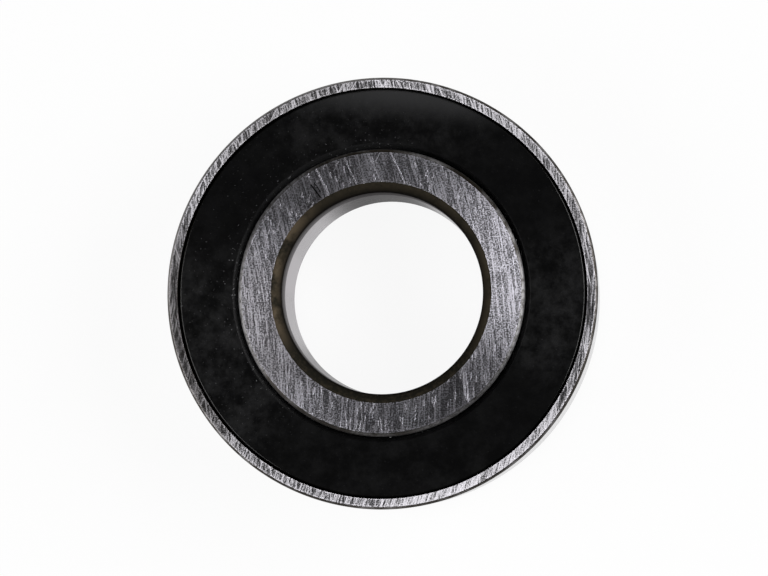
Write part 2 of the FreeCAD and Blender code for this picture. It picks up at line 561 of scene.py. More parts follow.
@dataclass(frozen=True)
class TurnedSteel:
    """Steel left as turned, with fine rings round the axis, mottled, and in places covered by oily patches
    and painted shade.

    From the bearing's faces to depth_shade_from millimetres inside, the skin goes over to the depth_shade
    colour, a painted shade that darkens the steel away from the faces.
    """

    name: str
    steel: Colour
    # Colour of the oily patches; on the edges they also paint shade where the lights do not reach.
    oil_and_shade: Colour
    oil_and_shade_patches: tuple[Patch, ...]
    # Painted shade colour that the skin goes over to away from the faces.
    depth_shade: Colour
    depth_shade_from: float
    roughness: Point = (0.22, 0.4)
    metal: float = 1.0
    grazing: float = 0.5
    gloss: float = 0.5
    anisotropy: float = 0.0
    lay: float = 0.25
    mottle: float = 0.25
    width: float = 9.0
    rings_per_mm: float = 16.0
    rings: Cloud = Cloud(1.0, 2.0, 0.6)
    oil_and_shade_smears: Cloud = Cloud(0.45, 4.0, 0.65, 0.3, 0.56)
    specks: Cloud = Cloud(3.0, 4.0, 0.65, 0.42, 0.66)
    relief: Relief = Relief(0.006, 0.4)

    def material(self) -> Material:
        """Lays oily patches, painted shade and mottle over the turned rings.

        Returns:
            The finished material.
        """
        shader = Shader(bpy.data.materials.new(self.name))
        distance, angle = shader.polar()
        across = shader.times(distance, self.rings_per_mm)
        upward = shader.times(shader.height, self.rings_per_mm)
        rings = self.rings.level(shader, shader.join(across, upward, angle))
        # Oily patches and painted shade, broken up by cloudy noise.
        oil_and_shade_smears = shader.times(self.oil_and_shade_smears.mask(shader), covered(shader, self.oil_and_shade_patches))
        mottle = shader.times(self.specks.mask(shader), self.mottle)
        skin = shader.blend(shader.calc("MAXIMUM", oil_and_shade_smears, mottle), self.steel, self.oil_and_shade)
        inside = shader.calc("SUBTRACT", self.width / 2, shader.gap(shader.height, self.width / 2))
        return shader.surface(
            # Painted shade: darker the further the place lies from the nearest face.
            Base_Color=shader.blend(shader.ease(inside, 0.0, self.depth_shade_from), skin, self.depth_shade),
            Metallic=self.metal,
            Roughness=shader.spread(rings, *self.roughness),
            Specular_IOR_Level=self.gloss,
            Specular_Tint=grey(self.grazing),
            Anisotropic=self.anisotropy,
            Anisotropic_Rotation=self.lay,
            Tangent=shader.round_axis(),
            Normal=self.relief.normal(shader, rings),
        )


@dataclass(frozen=True)
class GroundWall:
    """Bore or outside wall, ground round the axis to a fine even finish, with painted shade and painted
    highlights in sectors.
    """

    name: str
    dull: Colour
    bright: Colour
    # Painted shade: colour, sectors and metal share that darken the wall where it catches less light.
    painted_shade_colour: Colour
    painted_shade_sides: tuple[Patch, ...]
    # Painted highlights: sectors painted brighter where the wall reflects the lights and the white table.
    painted_highlights: tuple[Patch, ...]
    # Bands of oily coating and painted shade, darker towards the front face.
    oil_and_shade_bands: tuple[OilAndShadeBand, ...] = ()
    painted_shade_metal: float = 0.3
    oil_and_shade_metal: float = 0.05
    grazing: float = 0.66
    roughness: Point = (0.2, 0.36)
    gloss: float = 0.0
    anisotropy: float = 0.4
    rings_per_mm: float = 11.0
    breaks_per_radian: float = 1.5
    rings: Cloud = Cloud(1.0, 3.0, 0.65)
    cloud: Cloud = Cloud(0.3, 3.0, 0.55)
    ring_share: float = 0.6
    cloud_share: float = 0.4
    relief: Relief = Relief(0.006, 0.4)

    def material(self) -> Material:
        """Lays painted shade, painted highlights and bands of oily coating and painted shade over the ground
        rings.

        Returns:
            The finished material.
        """
        shader = Shader(bpy.data.materials.new(self.name))
        upward = shader.times(shader.height, self.rings_per_mm)
        around = shader.times(shader.polar()[1], self.breaks_per_radian)
        rings = self.rings.level(shader, shader.join(upward, around))
        layers = [
            (self.cloud.level(shader), self.cloud_share),
            (rings, self.ring_share),
            # Painted highlights lift the share in their sectors.
            (covered(shader, self.painted_highlights), 1.0),
        ]
        share = shader.weighted(layers)
        # Painted shade darkens the wall in its sectors and in the bands.
        dark = covered(shader, self.painted_shade_sides)
        metal = shader.spread(dark, 1.0, self.painted_shade_metal)
        for band in self.oil_and_shade_bands:
            oil_and_shade = band.mask(shader)
            dark = shader.calc("MAXIMUM", dark, oil_and_shade)
            metal = shader.times(metal, shader.spread(oil_and_shade, 1.0, self.oil_and_shade_metal))
        return shader.surface(
            Base_Color=shader.blend(dark, shader.blend(share, self.dull, self.bright), self.painted_shade_colour),
            Metallic=metal,
            Roughness=shader.spread(share, *self.roughness),
            Specular_IOR_Level=self.gloss,
            Specular_Tint=grey(self.grazing),
            Anisotropic=self.anisotropy,
            Tangent=shader.round_axis(),
            Normal=self.relief.normal(shader, rings),
        )


@dataclass(frozen=True)
class PolishedSteel:
    """Honed raceway or ball, close to a mirror."""

    name: str
    colour: Colour = (0.62, 0.62, 0.64, 1.0)
    faint: Colour = (0.5, 0.49, 0.48, 1.0)
    haze: Cloud = Cloud(0.8, 4.0, 0.6)
    ripple: Cloud = Cloud(14.0, 3.0)
    roughness: Point = (0.08, 0.18)
    relief: Relief = Relief(0.002, 0.15)

    def material(self) -> Material:
        """Lays a faint haze over the polish.

        Returns:
            The finished material.
        """
        shader = Shader(bpy.data.materials.new(self.name))
        haze = self.haze.level(shader)
        return shader.surface(
            Base_Color=shader.blend(haze, self.faint, self.colour),
            Metallic=1.0,
            Roughness=shader.spread(haze, *self.roughness),
            Normal=self.relief.normal(shader, self.ripple.level(shader)),
        )


@dataclass(frozen=True)
class SealRubber:
    """Black moulded rubber with a glossy skin, a painted sheen towards the top rim, handling smudges and
    specks of dust.

    The lip edge is the radius where the flat skin ends and the lip's slope begins, in millimetres.
    """

    name: str
    lip_edge: float
    rubber: Colour = (0.0016, 0.0016, 0.0017, 1.0)
    smudge: Colour = (0.026, 0.026, 0.0267, 1.0)
    dust: Colour = (0.15, 0.15, 0.155, 1.0)
    # Painted sheen: a pale band towards the top rim that stands in for the soft reflection of a light.
    painted_sheen: Colour = (0.034, 0.034, 0.035, 1.0)
    sheen_direction: float = 84.0
    sheen_reach: Point = (12.4, 15.4)
    handled: tuple[Patch, ...] = (
        Patch(200.0, 12.0, 42.0, 0.8),
        Patch(-5.0, 8.0, 30.0, 0.75),
        Patch(92.0, 12.0, 45.0, 0.5),
        Patch(270.0, 5.0, 50.0, 0.2),
    )
    dusty: tuple[Patch, ...] = (Patch(192.0, 22.0, 50.0), Patch(115.0, 15.0, 45.0, 0.7))
    streak_stretch: Point = (1.5, 0.6)
    streaks: Cloud = Cloud(1.0, 5.0, 0.7)
    blots: Cloud = Cloud(0.45, 6.0, 0.74, 0.36, 0.72)
    grit: Cloud = Cloud(5.0, 3.0, 0.6, 0.64, 0.72)
    grain: Cloud = Cloud(18.0, 2.0, 0.6)
    streak_least: float = 0.5
    handled_least: float = 0.14
    slope_fade: float = 0.1
    grease_share: Point = (0.03, 0.5)
    dust_reach: Point = (1.2, 0.2)
    dust_far: float = 0.25
    dust_least: float = 0.05
    roughness: Point = (0.15, 0.3)
    gloss: float = 0.5
    relief: Relief = Relief(0.0008, 0.2)

    def smudges(self, shader: Shader) -> Socket:
        """Streaks and blots that handling left.

        Args:
            shader: Material that is written.

        Returns:
            The socket of a value from 0 to 1.
        """
        stretched = [shader.times(part, stretch) for part, stretch in zip(shader.xyz, self.streak_stretch)]
        streaks = self.streaks.level(shader, shader.join(*stretched))
        marks = shader.times(self.blots.mask(shader), shader.spread(streaks, self.streak_least, 1.0))
        handled = covered(shader, self.handled)
        return shader.times(marks, shader.spread(handled, self.handled_least, 1.0))

    def material(self) -> Material:
        """Lays smudges, bloom and dust over the rubber.

        Returns:
            The finished material.
        """
        shader = Shader(bpy.data.materials.new(self.name))
        distance, _ = shader.polar()
        dusty = covered(shader, self.dusty)
        slope = shader.ease(distance, self.lip_edge + self.slope_fade, self.lip_edge)
        greased = shader.times(slope, shader.spread(dusty, *self.grease_share))
        smudge = shader.calc("MAXIMUM", self.smudges(shader), greased)
        near_lip = shader.ease(distance, *(self.lip_edge + reach for reach in self.dust_reach))
        dusty = shader.times(dusty, shader.spread(near_lip, self.dust_far, 1.0))
        specks = shader.times(self.grit.mask(shader), shader.spread(dusty, self.dust_least, 1.0))
        # Painted sheen, paler towards the top rim.
        painted_sheen = shader.ease(shader.towards(self.sheen_direction), *self.sheen_reach)
        skin = shader.blend(painted_sheen, shader.blend(smudge, self.rubber, self.smudge), self.painted_sheen)
        return shader.surface(
            Base_Color=shader.blend(specks, skin, self.dust),
            Roughness=shader.spread(smudge, *self.roughness),
            Specular_IOR_Level=self.gloss,
            Normal=self.relief.normal(shader, self.grain.level(shader)),
        )


@dataclass(frozen=True)
class CagePolyamide:
    """Dark moulded polyamide with a faint fibre grain."""

    name: str = "cage_polyamide"
    colour: Colour = (0.03, 0.03, 0.032, 1.0)
    fibre: Colour = (0.07, 0.068, 0.065, 1.0)
    grain: Cloud = Cloud(4.0, 4.0, 0.65)
    fibre_range: Point = (0.45, 0.75)
    roughness: Point = (0.45, 0.65)
    relief: Relief = Relief(0.01, 0.3)

    def material(self) -> Material:
        """Lays the fibres into the plastic.

        Returns:
            The finished material.
        """
        shader = Shader(bpy.data.materials.new(self.name))
        grain = self.grain.level(shader)
        return shader.surface(
            Base_Color=shader.blend(shader.ease(grain, *self.fibre_range), self.colour, self.fibre),
            Roughness=shader.spread(grain, *self.roughness),
            Normal=self.relief.normal(shader, grain),
        )


class OutlinePen:
    """Draws the half section of a turned piece in the XZ plane, in millimetres, and turns it."""

    ARC_STEP = math.radians(7)
    ARC_LEAST = 3
    EDGE_SEGMENTS = 3

    def __init__(self, radius: float, height: float, edge: float = 0.0) -> None:
        """Starts the outline at a corner.

        Args:
            radius: Distance of the corner from the axis.
            height: Height of the corner.
            edge: How much the corner is eased.
        """
        self.mesh = bmesh.new()
        self.eased: dict[float, list[bmesh.types.BMVert]] = {}
        self.first = self.mesh.verts.new(self.at(radius, height))
        self.last = self.first
        self.go_to(self.first, edge)

    @staticmethod
    def at(radius: float, height: float) -> Vector:
        """A point of the section, in metres."""
        return Vector((radius * MM, 0.0, height * MM))

    def go_to(self, corner: bmesh.types.BMVert, edge: float) -> None:
        """Moves the pen.

        Args:
            corner: Vertex that the pen goes to.
            edge: How much the corner is eased.
        """
        self.last = corner
        if edge > 0:
            self.eased.setdefault(edge, []).append(corner)

    def line(self, radius: float, height: float, edge: float = 0.0) -> None:
        """Draws a straight side to a corner that is eased by the edge."""
        self.go_to(bmesh.ops.extrude_vert_indiv(self.mesh, verts=[self.last])["verts"][0], edge)
        self.last.co = self.at(radius, height)

    def arc(self, radius: float, height: float, bend: float, turn: Turn, edge: float = 0.0) -> None:
        """Draws the smaller arc of a bend radius to a corner.

        Args:
            radius: Distance of the corner from the axis.
            height: Height of the corner.
            bend: Radius of the arc.
            turn: Side of the path on which the arc's centre lies.
            edge: How much the corner is eased.
        """
        end = self.at(radius, height)
        chord = end - self.last.co
        left = Vector((-chord.z, 0.0, chord.x)).normalized()
        half = min(chord.length / 2 / (bend * MM), 1.0)
        centre = (self.last.co + end) / 2 + left * (turn.value * bend * MM * math.sqrt(1 - half**2))
        sweep = 2 * math.asin(half)
        drawn = bmesh.ops.spin(
            self.mesh,
            geom=[self.last],
            cent=centre,
            axis=(0, -turn.value, 0),
            angle=sweep,
            steps=max(self.ARC_LEAST, round(sweep / self.ARC_STEP)),
        )
        self.go_to(drawn["geom_last"][0], edge)

    def turned(self, steps: int) -> bmesh.types.BMesh:
        """Closes the section, eases its corners and turns it about the axis.

        Args:
            steps: Divisions of the full turn.

        Returns:
            The closed mesh, with its normals outwards.
        """
        self.mesh.edges.new((self.last, self.first))
        for edge, corners in self.eased.items():
            bmesh.ops.bevel(
                self.mesh,
                geom=corners,
                offset=edge * MM,
                offset_type="OFFSET",
                segments=self.EDGE_SEGMENTS,
                profile=0.5,
                affect="VERTICES",
                material=-1,
            )
        bmesh.ops.spin(
            self.mesh,
            geom=self.mesh.verts[:] + self.mesh.edges[:],
            cent=(0, 0, 0),
            axis=(0, 0, 1),
            angle=math.tau,
            steps=steps,
            use_merge=True,
        )
        bmesh.ops.recalc_face_normals(self.mesh, faces=self.mesh.faces[:])
        return self.mesh


def mark_shading(mesh: bmesh.types.BMesh, sharp_above: float = 28.0) -> None:
    """Shades a mesh smooth, apart from its sharp edges.

    Args:
        mesh: Mesh that is marked.
        sharp_above: Angle in degrees past which an edge is sharp.
    """
    for face in mesh.faces:
        face.smooth = True
    for edge in mesh.edges:
        edge.smooth = edge.calc_face_angle(0.0) < math.radians(sharp_above)


def as_piece(mesh: bmesh.types.BMesh, name: str, finishes: Sequence[Material]) -> Object:
    """Makes an object of a finished bmesh.

    Args:
        mesh: Mesh with its place in its vertices, which is freed.
        name: Name of the object and of its mesh.
        finishes: Materials in the order of the slots.

    Returns:
        The object, linked to the scene.
    """
    data = bpy.data.meshes.new(name)
    mesh.to_mesh(data)
    mesh.free()
    for finish in finishes:
        data.materials.append(finish)
    piece = bpy.data.objects.new(name, data)
    bpy.context.scene.collection.objects.link(piece)
    return piece


def set_finish(piece: Object, finish: Material) -> None:
    """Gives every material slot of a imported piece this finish."""
    for slot in piece.material_slots:
        slot.material = finish


def corner_bend(radial: float, axial: float) -> float:
    """Radius of a corner arc that leaves the wall at a tangent and covers this reach."""
    return (radial**2 + axial**2) / (2 * radial)


@dataclass
class BallSet:
    """The row of balls, which sets the shape of both raceways. Sizes are in millimetres."""

    pitch_radius: float = 11.75
    diameter: float = 4.762
    contact_angle: float = 30.0
    groove_radius: float = 2.476
    race_gap: float = 0.025
    height: float = 4.5
    prefix: str = "ball_"

    def groove_height(self, land: float, race: Race, side: Side) -> float:
        """Height at which a raceway's groove meets a land.

        Args:
            land: Radius of the land.
            race: Raceway that is meant.
            side: Side of the groove on which the land lies.

        Returns:
            The height in millimetres.
        """
        offset = race.value * (self.groove_radius - self.diameter / 2 - self.race_gap)
        contact = math.radians(self.contact_angle)
        centre_radius = self.pitch_radius - offset * math.cos(contact)
        centre_height = self.height + offset * math.sin(contact)
        return centre_height + side.value * math.sqrt(self.groove_radius**2 - (land - centre_radius) ** 2)

    def dress(self, finish: Material) -> list[str]:
        """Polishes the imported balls.

        Args:
            finish: Material of every ball.

        Returns:
            The names of the balls.
        """
        names = sorted(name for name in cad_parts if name.startswith(self.prefix))
        for name in names:
            set_finish(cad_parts[name], finish)
        return names


@dataclass
class Ring:
    """What the two rings have in common. Sizes are in millimetres.

    Beside_wall is the kind of surface from the wall to a face, at_ends the one between face and raceway.
    """

    balls: BallSet
    node: str
    body: str
    wall: float
    front_corner: Point
    rear_corner: Point
    corner_slack: float
    flat: float
    beside_wall: Zone
    at_ends: Zone
    width: float = 9.0
    steps: int = 360
    edge: float = 0.03
    slack: float = 0.05
    slot: str = "ring_steel"

    def draw(self) -> OutlinePen:
        """The ring's half section."""
        raise NotImplementedError

    def end_depth(self) -> float:
        """How far in from a face the raceway's side of the ring begins."""
        raise NotImplementedError

    def finishes(self) -> dict[Zone, Material]:
        """The finish of each kind of surface."""
        raise NotImplementedError

    def zone(self, radius: float, height: float, normal: Vector) -> Zone:
        """Finds the kind of surface at a place of the ring.

        Args:
            radius: Distance from the axis.
            height: Height over the rear face.
            normal: Direction that the surface faces.

        Returns:
            The kind of surface.
        """
        from_end = min(height, self.width - height)
        if from_end < self.slack and abs(normal.z) > self.flat:
            return Zone.FACE
        if abs(radius - self.wall) < self.rear_corner[0] + self.corner_slack:
            on_wall = self.rear_corner[1] < height < self.width - self.front_corner[1]
            return Zone.WALL if on_wall else self.beside_wall
        return self.at_ends if from_end < self.end_depth() else Zone.RACE

    def build(self) -> Object:
        """Turns, dresses and places the ring.

        Returns:
            The finished piece.
        """
        mesh = self.draw().turned(self.steps)
        mark_shading(mesh)
        for face in mesh.faces:
            middle = face.calc_center_median() / MM
            face.material_index = self.zone(middle.xy.length, middle.z, face.normal).value
        finishes = self.finishes()
        piece = as_piece(mesh, f"{self.node}_turned", [finishes[zone] for zone in Zone])
        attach(piece, self.body)
        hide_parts(self.node)
        return piece


OUTER_FACE = GroundFace(
    "outer_ground_face",
    grain=Lay((-60.0, 0.0), 7.0, 0.4, 1.5),
    strokes=(
        Scratches(Lay((-60.0, 8.0), 10.0, 0.3, 3.5), 0.1, 0.9),
        Scratches(Lay((-60.0, 2.0), 14.0, 0.45, 9.5), 0.1, 0.9),
    ),
    scratches=(
        Scratches(Lay((-67.0, -16.0), 13.0, 0.35, 4.5), 0.74),
        Scratches(Lay((68.0, -23.0), 13.0, 0.45, 7.5), 0.92, share=0.9),
    ),
    lay=0.0,
    # Painted highlights where the face catches the lights, brightest at the lower right.
    painted_highlights=(
        Patch(-62.0, 8.0, 34.0, 0.2),
        Patch(45.0, 18.0, 50.0, 0.1),
        Patch(245.0, 8.0, 35.0, 0.05),
        Patch(150.0, 6.0, 22.0, 0.06),
    ),
    # Oily coating and painted shade on the left and upper left.
    oily_coats_and_shade=(Patch(193.0, 12.0, 40.0, 0.6), Patch(118.0, 8.0, 30.0, 0.3)),
    anisotropy=0.3,
    roughness=(0.36, 0.62),
    tone_range=(0.17, 0.83),
    grain_share=0.08,
    stroke_share=0.6,
    pit_share=0.24,
    worn_share=0.08,
    dull=(0.1, 0.098, 0.103, 1.0),
)
OUTER_EDGE = TurnedSteel(
    "outer_edge_steel",
    steel=(0.26, 0.25, 0.25, 1.0),
    # Dark oily colour, mostly painted shade along the outside edge, all round but the upper left.
    oil_and_shade=(0.05, 0.045, 0.04, 1.0),
    oil_and_shade_patches=(Patch(-45.0, 120.0, 165.0),),
    # Painted shade towards the outside wall.
    depth_shade=(0.05, 0.046, 0.042, 1.0),
    depth_shade_from=0.3,
    roughness=(0.3, 0.45),
    anisotropy=0.6,
)
OUTER_RECESS = TurnedSteel(
    "outer_recess_steel",
    steel=(0.08, 0.076, 0.072, 1.0),
    oil_and_shade=(0.05, 0.04, 0.03, 1.0),
    oil_and_shade_patches=(Patch(200.0, 40.0, 110.0),),
    # Painted shade deeper into the seal seats.
    depth_shade=(0.03, 0.03, 0.03, 1.0),
    depth_shade_from=1.0,
)
OUTER_WALL = GroundWall(
    "outer_ground_wall",
    dull=(0.34, 0.335, 0.34, 1.0),
    bright=(0.66, 0.65, 0.66, 1.0),
    # Faint painted shade at the lower right.
    painted_shade_colour=(0.1, 0.085, 0.07, 1.0),
    painted_shade_sides=(Patch(-40.0, 30.0, 90.0, 0.05),),
    # Painted highlights; the lower right is painted brighter where the wall reflects the white table.
    painted_highlights=(Patch(150.0, 20.0, 60.0, 0.1), Patch(-45.0, 40.0, 90.0, 0.22)),
    painted_shade_metal=0.5,
    grazing=1.0,
    roughness=(0.13, 0.26),
)


@dataclass
class OuterRing(Ring):
    """Outer ring: thin lip at the front, thrust shoulder and wide face at the rear."""

    node: str = "outer_ring"
    body: str = "outer_assembly"
    wall: float = 16.0
    front_corner: Point = (0.2, 0.3)
    rear_corner: Point = (0.5, 0.6)
    corner_slack: float = 0.05
    flat: float = 0.95
    beside_wall: Zone = Zone.EDGE
    at_ends: Zone = Zone.CORNER
    high_land: float = 12.84
    low_land: float = 14.0
    front_lip: float = 15.21
    rear_lip: float = 13.9
    lip_height: float = 0.5
    seat_depth: float = 1.15
    snap_depth: float = 0.14

    def draw(self) -> OutlinePen:
        """Draws the outside, then the lips, seal seats, lands and raceway.

        Returns:
            The pen with the ring's half section.
        """
        top = self.width
        snap = self.snap_depth
        front_radial, front_axial = self.front_corner
        rear_radial, rear_axial = self.rear_corner
        pen = OutlinePen(self.wall - rear_radial, 0.0, self.edge)
        pen.arc(self.wall, rear_axial, corner_bend(rear_radial, rear_axial), Turn.LEFT)
        pen.line(self.wall, top - front_axial)
        pen.arc(self.wall - front_radial, top, corner_bend(front_radial, front_axial), Turn.LEFT, self.edge)
        pen.line(self.front_lip, top, self.edge)
        pen.line(self.front_lip, top - self.lip_height, self.edge)
        pen.line(self.front_lip + snap, top - self.lip_height - snap)
        pen.line(self.front_lip + snap, top - self.seat_depth, self.edge)
        pen.line(self.low_land, top - self.seat_depth, self.edge)
        pen.line(self.low_land, self.balls.groove_height(self.low_land, Race.OUTER, Side.FRONT))
        race_end = self.balls.groove_height(self.high_land, Race.OUTER, Side.REAR)
        pen.arc(self.high_land, race_end, self.balls.groove_radius, Turn.RIGHT, self.edge)
        pen.line(self.high_land, self.seat_depth, self.edge)
        pen.line(self.rear_lip + snap, self.seat_depth, self.edge)
        pen.line(self.rear_lip + snap, self.lip_height + snap)
        pen.line(self.rear_lip, self.lip_height, self.edge)
        pen.line(self.rear_lip, 0.0, self.edge)
        return pen

    def end_depth(self) -> float:
        """Depth of the seal seats, with a little slack."""
        return self.seat_depth + self.slack

    def finishes(self) -> dict[Zone, Material]:
        """Makes the ring's finishes, with its faces worn along their rims.

        Returns:
            The material of each kind of surface.
        """
        front_rims = (self.front_lip, self.wall - self.front_corner[0])
        rear_rims = (self.rear_lip, self.wall - self.rear_corner[0])
        return {
            Zone.FACE: OUTER_FACE.material((front_rims, rear_rims)),
            Zone.EDGE: OUTER_EDGE.material(),
            Zone.CORNER: OUTER_RECESS.material(),
            Zone.WALL: OUTER_WALL.material(),
            Zone.RACE: PolishedSteel("outer_honed_race").material(),
        }


INNER_FACE = GroundFace(
    "inner_ground_face",
    grain=Lay((-55.0, -8.0), 9.0, 0.6, 2.5),
    strokes=(
        Scratches(Lay((-50.0, -6.0), 15.0, 0.2, 6.5), 0.3),
        Scratches(Lay((-55.0, -8.0), 12.0, 0.28, 3.5), 0.3),
    ),
    scratches=(
        Scratches(Lay((-45.0, -12.0), 14.0, 0.16, 5.5), 0.93, share=0.9),
        Scratches(Lay((-60.0, -4.0), 13.0, 1.5, 2.5), 0.92),
        Scratches(Lay((70.0, -20.0), 16.0, 0.9, 8.5), 0.96, share=0.7),
    ),
    lay=0.25,
    # Faint painted highlight on the right, where the stronger light falls.
    painted_highlights=(Patch(5.0, 10.0, 60.0, 0.05),),
    # Oily coating and painted shade on the upper left and left.
    oily_coats_and_shade=(Patch(118.0, 10.0, 40.0, 0.2), Patch(195.0, 15.0, 45.0, 0.4)),
    anisotropy=0.72,
    roughness=(0.28, 0.42),
    tone_range=(0.18, 0.67),
    grain_share=0.1,
    stroke_share=0.46,
    pit_share=0.38,
    worn_share=0.1,
    dull=(0.28, 0.274, 0.295, 1.0),
    bright=(0.93, 0.91, 1.0, 1.0),
    nicks=(Nick((-5.2, 8.02), (-4.5, 7.1), 0.16), Nick((-4.94, 8.14), (-4.5, 7.5), 0.12)),
    spots=(Spot((-0.75, 8.9), 1.3, 1.3), Spot((7.8, 5.6), 1.2, 0.15)),
    pits=Cloud(9.0, 1.0, 0.6, 0.38, 0.62),
)
INNER_EDGE = TurnedSteel(
    "inner_edge_steel",
    steel=(0.28, 0.274, 0.28, 1.0),
    # Dark oily colour that paints shade at the top and lower left, away from the side lights.
    oil_and_shade=(0.032, 0.027, 0.02, 1.0),
    oil_and_shade_patches=(Patch(66.0, 46.0, 62.0), Patch(245.0, 32.0, 50.0, 0.9)),
    # Painted shade further from the faces.
    depth_shade=(0.12, 0.117, 0.12, 1.0),
    depth_shade_from=0.5,
    roughness=(0.42, 0.56),
    anisotropy=0.72,
    mottle=0.75,
)
BORE_CORNER = TurnedSteel(
    "bore_corner_steel",
    steel=(0.015, 0.014, 0.0105, 1.0),
    oil_and_shade=(0.09, 0.07, 0.047, 1.0),
    oil_and_shade_patches=(Patch(168.0, 15.0, 50.0), Patch(80.0, 30.0, 70.0, 0.22), Patch(0.0, 15.0, 40.0, 0.3)),
    # Painted shade towards the bore wall.
    depth_shade=(0.01, 0.0095, 0.0085, 1.0),
    depth_shade_from=0.9,
    roughness=(0.45, 0.6),
    metal=0.2,
    grazing=0.1,
    gloss=0.0,
)
BORE_WALL = GroundWall(
    "bore_ground_wall",
    dull=(0.47, 0.447, 0.466, 1.0),
    bright=(0.64, 0.612, 0.635, 1.0),
    # Painted shade darkens the top and the lower left of the bore wall.
    painted_shade_colour=(0.03, 0.028, 0.026, 1.0),
    painted_shade_sides=(Patch(92.0, 8.0, 42.0, 0.88), Patch(232.0, 6.0, 30.0, 0.5)),
    # Painted highlight on the left of the bore wall.
    painted_highlights=(Patch(167.0, 4.0, 13.0, 0.9),),
    # Band of oily coating and painted shade along the front of the bore.
    oil_and_shade_bands=(OilAndShadeBand(start=6.4, full=8.6, step=0.78),),
)


@dataclass
class InnerRing(Ring):
    """Inner ring: wide face at the front, low land at the rear, rounded bore corners."""

    node: str = "inner_ring"
    body: str = "inner_ring"
    wall: float = 7.5
    front_corner: Point = (0.68, 1.0)
    rear_corner: Point = (0.68, 1.0)
    corner_slack: float = 0.02
    flat: float = 0.99
    beside_wall: Zone = Zone.CORNER
    at_ends: Zone = Zone.EDGE
    high_land: float = 10.66
    low_land: float = 9.52
    land_edge: Point = (0.28, 0.34)

    def draw(self) -> OutlinePen:
        """Draws the rear corner, then the lands, raceway, front face and front corner.

        Returns:
            The pen with the ring's half section.
        """
        top = self.width
        front_radial, front_axial = self.front_corner
        rear_radial, rear_axial = self.rear_corner
        edge_radial, edge_axial = self.land_edge
        edge_bend = corner_bend(edge_radial, edge_axial)
        pen = OutlinePen(self.wall, rear_axial)
        pen.arc(self.wall + rear_radial, 0.0, corner_bend(rear_radial, rear_axial), Turn.LEFT, self.edge)
        pen.line(self.low_land - edge_radial, 0.0, self.edge)
        pen.arc(self.low_land, edge_axial, edge_bend, Turn.LEFT)
        pen.line(self.low_land, self.balls.groove_height(self.low_land, Race.INNER, Side.REAR), self.edge)
        race_end = self.balls.groove_height(self.high_land, Race.INNER, Side.FRONT)
        pen.arc(self.high_land, race_end, self.balls.groove_radius, Turn.RIGHT, self.edge)
        pen.line(self.high_land, top - edge_axial)
        pen.arc(self.high_land - edge_radial, top, edge_bend, Turn.LEFT, self.edge)
        pen.line(self.wall + front_radial, top, self.edge)
        pen.arc(self.wall, top - front_axial, corner_bend(front_radial, front_axial), Turn.LEFT)
        return pen

    def end_depth(self) -> float:
        """Reach of the rounded rims of the lands."""
        return self.land_edge[1]

    def finishes(self) -> dict[Zone, Material]:
        """Makes the ring's finishes, with its faces worn along their rims.

        Returns:
            The material of each kind of surface.
        """
        front_rims = (self.wall + self.front_corner[0], self.high_land - self.land_edge[0])
        rear_rims = (self.wall + self.rear_corner[0], self.low_land - self.land_edge[0])
        return {
            Zone.FACE: INNER_FACE.material((front_rims, rear_rims)),
            Zone.EDGE: INNER_EDGE.material(),
            Zone.CORNER: BORE_CORNER.material(),
            Zone.WALL: BORE_WALL.material(),
            Zone.RACE: PolishedSteel("inner_honed_race").material(),
        }


@dataclass
class Seal:
    """Moulded rubber seal that snaps into the outer ring. Sizes are in millimetres."""

    node: str
    housing: OuterRing
    lip_radius: float
    land: float
    side: Side
    steps: int = 360
    recess: float = 0.2
    rim_gap: float = 0.1
    rim_round: float = 0.2
    bead_play: float = 0.04
    bead_top: float = 0.8
    bead_neck: float = 0.56
    lip_play: float = 0.06
    lip_slope: float = 0.36
    lip_top: float = 0.6
    lip_bottom: float = 1.0
    edge: float = 0.06
    slot: str = "seal_rubber"

    def level(self, depth: float) -> float:
        """Height of a point this far inside the seal's own face of the bearing."""
        return self.housing.width - depth if self.side is Side.FRONT else depth

    def draw(self) -> OutlinePen:
        """Draws the back of the seal, then its bead, rim, flat skin and lip.

        Returns:
            The pen with the seal's half section.
        """
        back = self.level(self.housing.seat_depth)
        bead = self.lip_radius + self.housing.snap_depth - self.bead_play
        rim = self.lip_radius - self.rim_gap
        inside = self.land + self.lip_play
        turn = Turn.LEFT if self.side is Side.FRONT else Turn.RIGHT
        pen = OutlinePen(inside, self.level(self.lip_bottom), self.edge)
        pen.line(inside + self.lip_slope, back)
        pen.line(bead, back, self.edge)
        pen.line(bead, self.level(self.bead_top), self.edge)
        pen.line(rim, self.level(self.bead_neck), self.edge)
        pen.line(rim, self.level(self.recess + self.rim_round))
        pen.arc(rim - self.rim_round, self.level(self.recess), self.rim_round, turn)
        pen.line(inside + self.lip_slope, self.level(self.recess))
        pen.line(inside, self.level(self.lip_top), self.edge)
        return pen

    def build(self) -> Object:
        """Turns, dresses and places the seal.

        Returns:
            The finished piece.
        """
        mesh = self.draw().turned(self.steps)
        mark_shading(mesh)
        rubber = SealRubber(f"{self.node}_rubber", self.land + self.lip_play + self.lip_slope)
        piece = as_piece(mesh, f"{self.node}_moulded", [rubber.material()])
        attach(piece, self.housing.body)
        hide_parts(self.node)
        return piece


@dataclass
class Cage:
    """Window cage, kept as packed and given its moulded finish."""

    node: str = "cage"

    def dress(self, finish: Material) -> str:
        """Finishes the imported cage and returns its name."""
        set_finish(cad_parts[self.node], finish)
        return self.node


